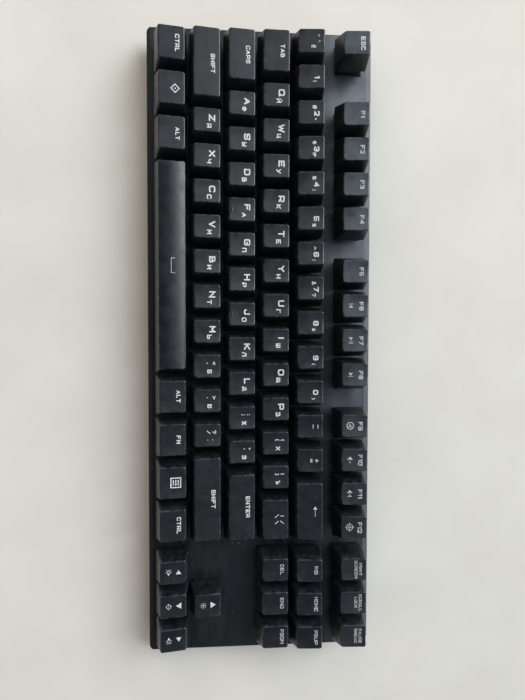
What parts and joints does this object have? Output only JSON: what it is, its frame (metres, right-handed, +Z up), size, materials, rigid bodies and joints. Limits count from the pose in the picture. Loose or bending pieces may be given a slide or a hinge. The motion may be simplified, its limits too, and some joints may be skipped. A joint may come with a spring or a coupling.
{
  "type": "mechanical keyboard",
  "caption": "Tenkeyless mechanical keyboard with floating sculpted keycaps on a black steel plate, sprung keys, a plastic tray and two fold-out feet",
  "frame": {"origin": "on the table under the middle of the keyboard", "axes": "+X to the typist's right along the rows, +Y from the space bar to the function row, +Z up"},
  "size_m": [0.359, 0.1299, 0.0344],
  "materials": {
    "keycap_plastic": "black moulded keycap with light legends, slightly worn",
    "black_steel": "black powder coat, satin",
    "case_plastic": "black moulded plastic with a fine texture",
    "foot_plastic": "black moulded plastic",
    "switch_plastic": "black moulded plastic",
    "board": "solder mask on glass fibre",
    "spring_steel": "drawn wire",
    "contact_metal": "plated contact leaf",
    "lamp": "clear moulded lamp",
    "socket_metal": "plated sheet",
    "screw_steel": "black zinc",
    "rubber": "matt rubber"
  },
  "bodies": {
    "case": {"bottom_case": "case_plastic", "top_plate": "black_steel", "circuit_board": "board", "switch_bases": "switch_plastic", "switch_covers": "switch_plastic", "switch_springs": "spring_steel", "switch_contacts": "contact_metal", "key_leds": "lamp", "stabiliser_housings": "switch_plastic", "stabiliser_wires": "spring_steel", "usb_socket": "socket_metal", "case_screws": "screw_steel", "rubber_pads": "rubber"},
    "left_foot": {"left_foot": "foot_plastic"},
    "right_foot": {"right_foot": "foot_plastic"},
    "space_bar": {"space_bar": "keycap_plastic"},
    "enter_key": {"enter_key": "keycap_plastic"},
    "escape_key": {"escape_key": "keycap_plastic"},
    "backspace_key": {"backspace_key": "keycap_plastic"},
    "left_shift_key": {"left_shift_key": "keycap_plastic"},
    "right_shift_key": {"right_shift_key": "keycap_plastic"},
    "function_keys": {"function_keys": "keycap_plastic"},
    "number_and_symbol_keys": {"number_and_symbol_keys": "keycap_plastic"},
    "arrow_keys": {"arrow_keys": "keycap_plastic"},
    "navigation_keys": {"navigation_keys": "keycap_plastic"},
    "tab_key": {"tab_key": "keycap_plastic"},
    "caps_lock_key": {"caps_lock_key": "keycap_plastic"},
    "left_ctrl_key": {"left_ctrl_key": "keycap_plastic"},
    "super_key": {"super_key": "keycap_plastic"},
    "left_alt_key": {"left_alt_key": "keycap_plastic"},
    "right_alt_key": {"right_alt_key": "keycap_plastic"},
    "fn_key": {"fn_key": "keycap_plastic"},
    "menu_key": {"menu_key": "keycap_plastic"},
    "right_ctrl_key": {"right_ctrl_key": "keycap_plastic"},
    "key_q": {"key_q": "keycap_plastic"},
    "key_w": {"key_w": "keycap_plastic"},
    "key_e": {"key_e": "keycap_plastic"},
    "key_r": {"key_r": "keycap_plastic"},
    "key_t": {"key_t": "keycap_plastic"},
    "key_y": {"key_y": "keycap_plastic"},
    "key_u": {"key_u": "keycap_plastic"},
    "key_i": {"key_i": "keycap_plastic"},
    "key_o": {"key_o": "keycap_plastic"},
    "key_p": {"key_p": "keycap_plastic"},
    "key_a": {"key_a": "keycap_plastic"},
    "key_s": {"key_s": "keycap_plastic"},
    "key_d": {"key_d": "keycap_plastic"},
    "key_f": {"key_f": "keycap_plastic"},
    "key_g": {"key_g": "keycap_plastic"},
    "key_h": {"key_h": "keycap_plastic"},
    "key_j": {"key_j": "keycap_plastic"},
    "key_k": {"key_k": "keycap_plastic"},
    "key_l": {"key_l": "keycap_plastic"},
    "key_z": {"key_z": "keycap_plastic"},
    "key_x": {"key_x": "keycap_plastic"},
    "key_c": {"key_c": "keycap_plastic"},
    "key_v": {"key_v": "keycap_plastic"},
    "key_b": {"key_b": "keycap_plastic"},
    "key_n": {"key_n": "keycap_plastic"},
    "key_m": {"key_m": "keycap_plastic"}
  },
  "joints": [
    {"name": "left_foot_fold", "type": "hinge", "parent": "case", "child": "left_foot", "pos_m": [-0.137, 0.05, 0.0034], "axis": [1, 0, 0], "range_deg": [0, 80]},
    {"name": "right_foot_fold", "type": "hinge", "parent": "case", "child": "right_foot", "pos_m": [0.137, 0.05, 0.0034], "axis": [1, 0, 0], "range_deg": [0, 80]},
    {"name": "space_bar_press", "type": "slide", "parent": "case", "child": "space_bar", "axis": [0, 0.0436, -0.999], "range_m": [0, 0.004], "stiffness_N_per_m": 75, "springref_m": -0.004, "deforming": ["switch_springs"]},
    {"name": "enter_key_press", "type": "slide", "parent": "case", "child": "enter_key", "axis": [0, 0.0436, -0.999], "range_m": [0, 0.004], "stiffness_N_per_m": 75, "springref_m": -0.004, "deforming": ["switch_springs"]},
    {"name": "escape_key_press", "type": "slide", "parent": "case", "child": "escape_key", "axis": [0, 0.0436, -0.999], "range_m": [0, 0.004], "stiffness_N_per_m": 75, "springref_m": -0.004, "deforming": ["switch_springs"]},
    {"name": "backspace_key_press", "type": "slide", "parent": "case", "child": "backspace_key", "axis": [0, 0.0436, -0.999], "range_m": [0, 0.004], "stiffness_N_per_m": 75, "springref_m": -0.004, "deforming": ["switch_springs"]},
    {"name": "left_shift_key_press", "type": "slide", "parent": "case", "child": "left_shift_key", "axis": [0, 0.0436, -0.999], "range_m": [0, 0.004], "stiffness_N_per_m": 75, "springref_m": -0.004, "deforming": ["switch_springs"]},
    {"name": "right_shift_key_press", "type": "slide", "parent": "case", "child": "right_shift_key", "axis": [0, 0.0436, -0.999], "range_m": [0, 0.004], "stiffness_N_per_m": 75, "springref_m": -0.004, "deforming": ["switch_springs"]},
    {"name": "function_keys_press", "type": "slide", "parent": "case", "child": "function_keys", "axis": [0, 0.0436, -0.999], "range_m": [0, 0.004], "stiffness_N_per_m": 900, "springref_m": -0.004, "deforming": ["switch_springs"]},
    {"name": "number_and_symbol_keys_press", "type": "slide", "parent": "case", "child": "number_and_symbol_keys", "axis": [0, 0.0436, -0.999], "range_m": [0, 0.004], "stiffness_N_per_m": 1575, "springref_m": -0.004, "deforming": ["switch_springs"]},
    {"name": "arrow_keys_press", "type": "slide", "parent": "case", "child": "arrow_keys", "axis": [0, 0.0436, -0.999], "range_m": [0, 0.004], "stiffness_N_per_m": 300, "springref_m": -0.004, "deforming": ["switch_springs"]},
    {"name": "navigation_keys_press", "type": "slide", "parent": "case", "child": "navigation_keys", "axis": [0, 0.0436, -0.999], "range_m": [0, 0.004], "stiffness_N_per_m": 675, "springref_m": -0.004, "deforming": ["switch_springs"]},
    {"name": "tab_key_press", "type": "slide", "parent": "case", "child": "tab_key", "axis": [0, 0.0436, -0.999], "range_m": [0, 0.004], "stiffness_N_per_m": 75, "springref_m": -0.004, "deforming": ["switch_springs"]},
    {"name": "caps_lock_key_press", "type": "slide", "parent": "case", "child": "caps_lock_key", "axis": [0, 0.0436, -0.999], "range_m": [0, 0.004], "stiffness_N_per_m": 75, "springref_m": -0.004, "deforming": ["switch_springs"]},
    {"name": "left_ctrl_key_press", "type": "slide", "parent": "case", "child": "left_ctrl_key", "axis": [0, 0.0436, -0.999], "range_m": [0, 0.004], "stiffness_N_per_m": 75, "springref_m": -0.004, "deforming": ["switch_springs"]},
    {"name": "super_key_press", "type": "slide", "parent": "case", "child": "super_key", "axis": [0, 0.0436, -0.999], "range_m": [0, 0.004], "stiffness_N_per_m": 75, "springref_m": -0.004, "deforming": ["switch_springs"]},
    {"name": "left_alt_key_press", "type": "slide", "parent": "case", "child": "left_alt_key", "axis": [0, 0.0436, -0.999], "range_m": [0, 0.004], "stiffness_N_per_m": 75, "springref_m": -0.004, "deforming": ["switch_springs"]},
    {"name": "right_alt_key_press", "type": "slide", "parent": "case", "child": "right_alt_key", "axis": [0, 0.0436, -0.999], "range_m": [0, 0.004], "stiffness_N_per_m": 75, "springref_m": -0.004, "deforming": ["switch_springs"]},
    {"name": "fn_key_press", "type": "slide", "parent": "case", "child": "fn_key", "axis": [0, 0.0436, -0.999], "range_m": [0, 0.004], "stiffness_N_per_m": 75, "springref_m": -0.004, "deforming": ["switch_springs"]},
    {"name": "menu_key_press", "type": "slide", "parent": "case", "child": "menu_key", "axis": [0, 0.0436, -0.999], "range_m": [0, 0.004], "stiffness_N_per_m": 75, "springref_m": -0.004, "deforming": ["switch_springs"]},
    {"name": "right_ctrl_key_press", "type": "slide", "parent": "case", "child": "right_ctrl_key", "axis": [0, 0.0436, -0.999], "range_m": [0, 0.004], "stiffness_N_per_m": 75, "springref_m": -0.004, "deforming": ["switch_springs"]},
    {"name": "key_q_press", "type": "slide", "parent": "case", "child": "key_q", "axis": [0, 0.0436, -0.999], "range_m": [0, 0.004], "stiffness_N_per_m": 75, "springref_m": -0.004, "deforming": ["switch_springs"]},
    {"name": "key_w_press", "type": "slide", "parent": "case", "child": "key_w", "axis": [0, 0.0436, -0.999], "range_m": [0, 0.004], "stiffness_N_per_m": 75, "springref_m": -0.004, "deforming": ["switch_springs"]},
    {"name": "key_e_press", "type": "slide", "parent": "case", "child": "key_e", "axis": [0, 0.0436, -0.999], "range_m": [0, 0.004], "stiffness_N_per_m": 75, "springref_m": -0.004, "deforming": ["switch_springs"]},
    {"name": "key_r_press", "type": "slide", "parent": "case", "child": "key_r", "axis": [0, 0.0436, -0.999], "range_m": [0, 0.004], "stiffness_N_per_m": 75, "springref_m": -0.004, "deforming": ["switch_springs"]},
    {"name": "key_t_press", "type": "slide", "parent": "case", "child": "key_t", "axis": [0, 0.0436, -0.999], "range_m": [0, 0.004], "stiffness_N_per_m": 75, "springref_m": -0.004, "deforming": ["switch_springs"]},
    {"name": "key_y_press", "type": "slide", "parent": "case", "child": "key_y", "axis": [0, 0.0436, -0.999], "range_m": [0, 0.004], "stiffness_N_per_m": 75, "springref_m": -0.004, "deforming": ["switch_springs"]},
    {"name": "key_u_press", "type": "slide", "parent": "case", "child": "key_u", "axis": [0, 0.0436, -0.999], "range_m": [0, 0.004], "stiffness_N_per_m": 75, "springref_m": -0.004, "deforming": ["switch_springs"]},
    {"name": "key_i_press", "type": "slide", "parent": "case", "child": "key_i", "axis": [0, 0.0436, -0.999], "range_m": [0, 0.004], "stiffness_N_per_m": 75, "springref_m": -0.004, "deforming": ["switch_springs"]},
    {"name": "key_o_press", "type": "slide", "parent": "case", "child": "key_o", "axis": [0, 0.0436, -0.999], "range_m": [0, 0.004], "stiffness_N_per_m": 75, "springref_m": -0.004, "deforming": ["switch_springs"]},
    {"name": "key_p_press", "type": "slide", "parent": "case", "child": "key_p", "axis": [0, 0.0436, -0.999], "range_m": [0, 0.004], "stiffness_N_per_m": 75, "springref_m": -0.004, "deforming": ["switch_springs"]},
    {"name": "key_a_press", "type": "slide", "parent": "case", "child": "key_a", "axis": [0, 0.0436, -0.999], "range_m": [0, 0.004], "stiffness_N_per_m": 75, "springref_m": -0.004, "deforming": ["switch_springs"]},
    {"name": "key_s_press", "type": "slide", "parent": "case", "child": "key_s", "axis": [0, 0.0436, -0.999], "range_m": [0, 0.004], "stiffness_N_per_m": 75, "springref_m": -0.004, "deforming": ["switch_springs"]},
    {"name": "key_d_press", "type": "slide", "parent": "case", "child": "key_d", "axis": [0, 0.0436, -0.999], "range_m": [0, 0.004], "stiffness_N_per_m": 75, "springref_m": -0.004, "deforming": ["switch_springs"]},
    {"name": "key_f_press", "type": "slide", "parent": "case", "child": "key_f", "axis": [0, 0.0436, -0.999], "range_m": [0, 0.004], "stiffness_N_per_m": 75, "springref_m": -0.004, "deforming": ["switch_springs"]},
    {"name": "key_g_press", "type": "slide", "parent": "case", "child": "key_g", "axis": [0, 0.0436, -0.999], "range_m": [0, 0.004], "stiffness_N_per_m": 75, "springref_m": -0.004, "deforming": ["switch_springs"]},
    {"name": "key_h_press", "type": "slide", "parent": "case", "child": "key_h", "axis": [0, 0.0436, -0.999], "range_m": [0, 0.004], "stiffness_N_per_m": 75, "springref_m": -0.004, "deforming": ["switch_springs"]},
    {"name": "key_j_press", "type": "slide", "parent": "case", "child": "key_j", "axis": [0, 0.0436, -0.999], "range_m": [0, 0.004], "stiffness_N_per_m": 75, "springref_m": -0.004, "deforming": ["switch_springs"]},
    {"name": "key_k_press", "type": "slide", "parent": "case", "child": "key_k", "axis": [0, 0.0436, -0.999], "range_m": [0, 0.004], "stiffness_N_per_m": 75, "springref_m": -0.004, "deforming": ["switch_springs"]},
    {"name": "key_l_press", "type": "slide", "parent": "case", "child": "key_l", "axis": [0, 0.0436, -0.999], "range_m": [0, 0.004], "stiffness_N_per_m": 75, "springref_m": -0.004, "deforming": ["switch_springs"]},
    {"name": "key_z_press", "type": "slide", "parent": "case", "child": "key_z", "axis": [0, 0.0436, -0.999], "range_m": [0, 0.004], "stiffness_N_per_m": 75, "springref_m": -0.004, "deforming": ["switch_springs"]},
    {"name": "key_x_press", "type": "slide", "parent": "case", "child": "key_x", "axis": [0, 0.0436, -0.999], "range_m": [0, 0.004], "stiffness_N_per_m": 75, "springref_m": -0.004, "deforming": ["switch_springs"]},
    {"name": "key_c_press", "type": "slide", "parent": "case", "child": "key_c", "axis": [0, 0.0436, -0.999], "range_m": [0, 0.004], "stiffness_N_per_m": 75, "springref_m": -0.004, "deforming": ["switch_springs"]},
    {"name": "key_v_press", "type": "slide", "parent": "case", "child": "key_v", "axis": [0, 0.0436, -0.999], "range_m": [0, 0.004], "stiffness_N_per_m": 75, "springref_m": -0.004, "deforming": ["switch_springs"]},
    {"name": "key_b_press", "type": "slide", "parent": "case", "child": "key_b", "axis": [0, 0.0436, -0.999], "range_m": [0, 0.004], "stiffness_N_per_m": 75, "springref_m": -0.004, "deforming": ["switch_springs"]},
    {"name": "key_n_press", "type": "slide", "parent": "case", "child": "key_n", "axis": [0, 0.0436, -0.999], "range_m": [0, 0.004], "stiffness_N_per_m": 75, "springref_m": -0.004, "deforming": ["switch_springs"]},
    {"name": "key_m_press", "type": "slide", "parent": "case", "child": "key_m", "axis": [0, 0.0436, -0.999], "range_m": [0, 0.004], "stiffness_N_per_m": 75, "springref_m": -0.004, "deforming": ["switch_springs"]}
  ]
}
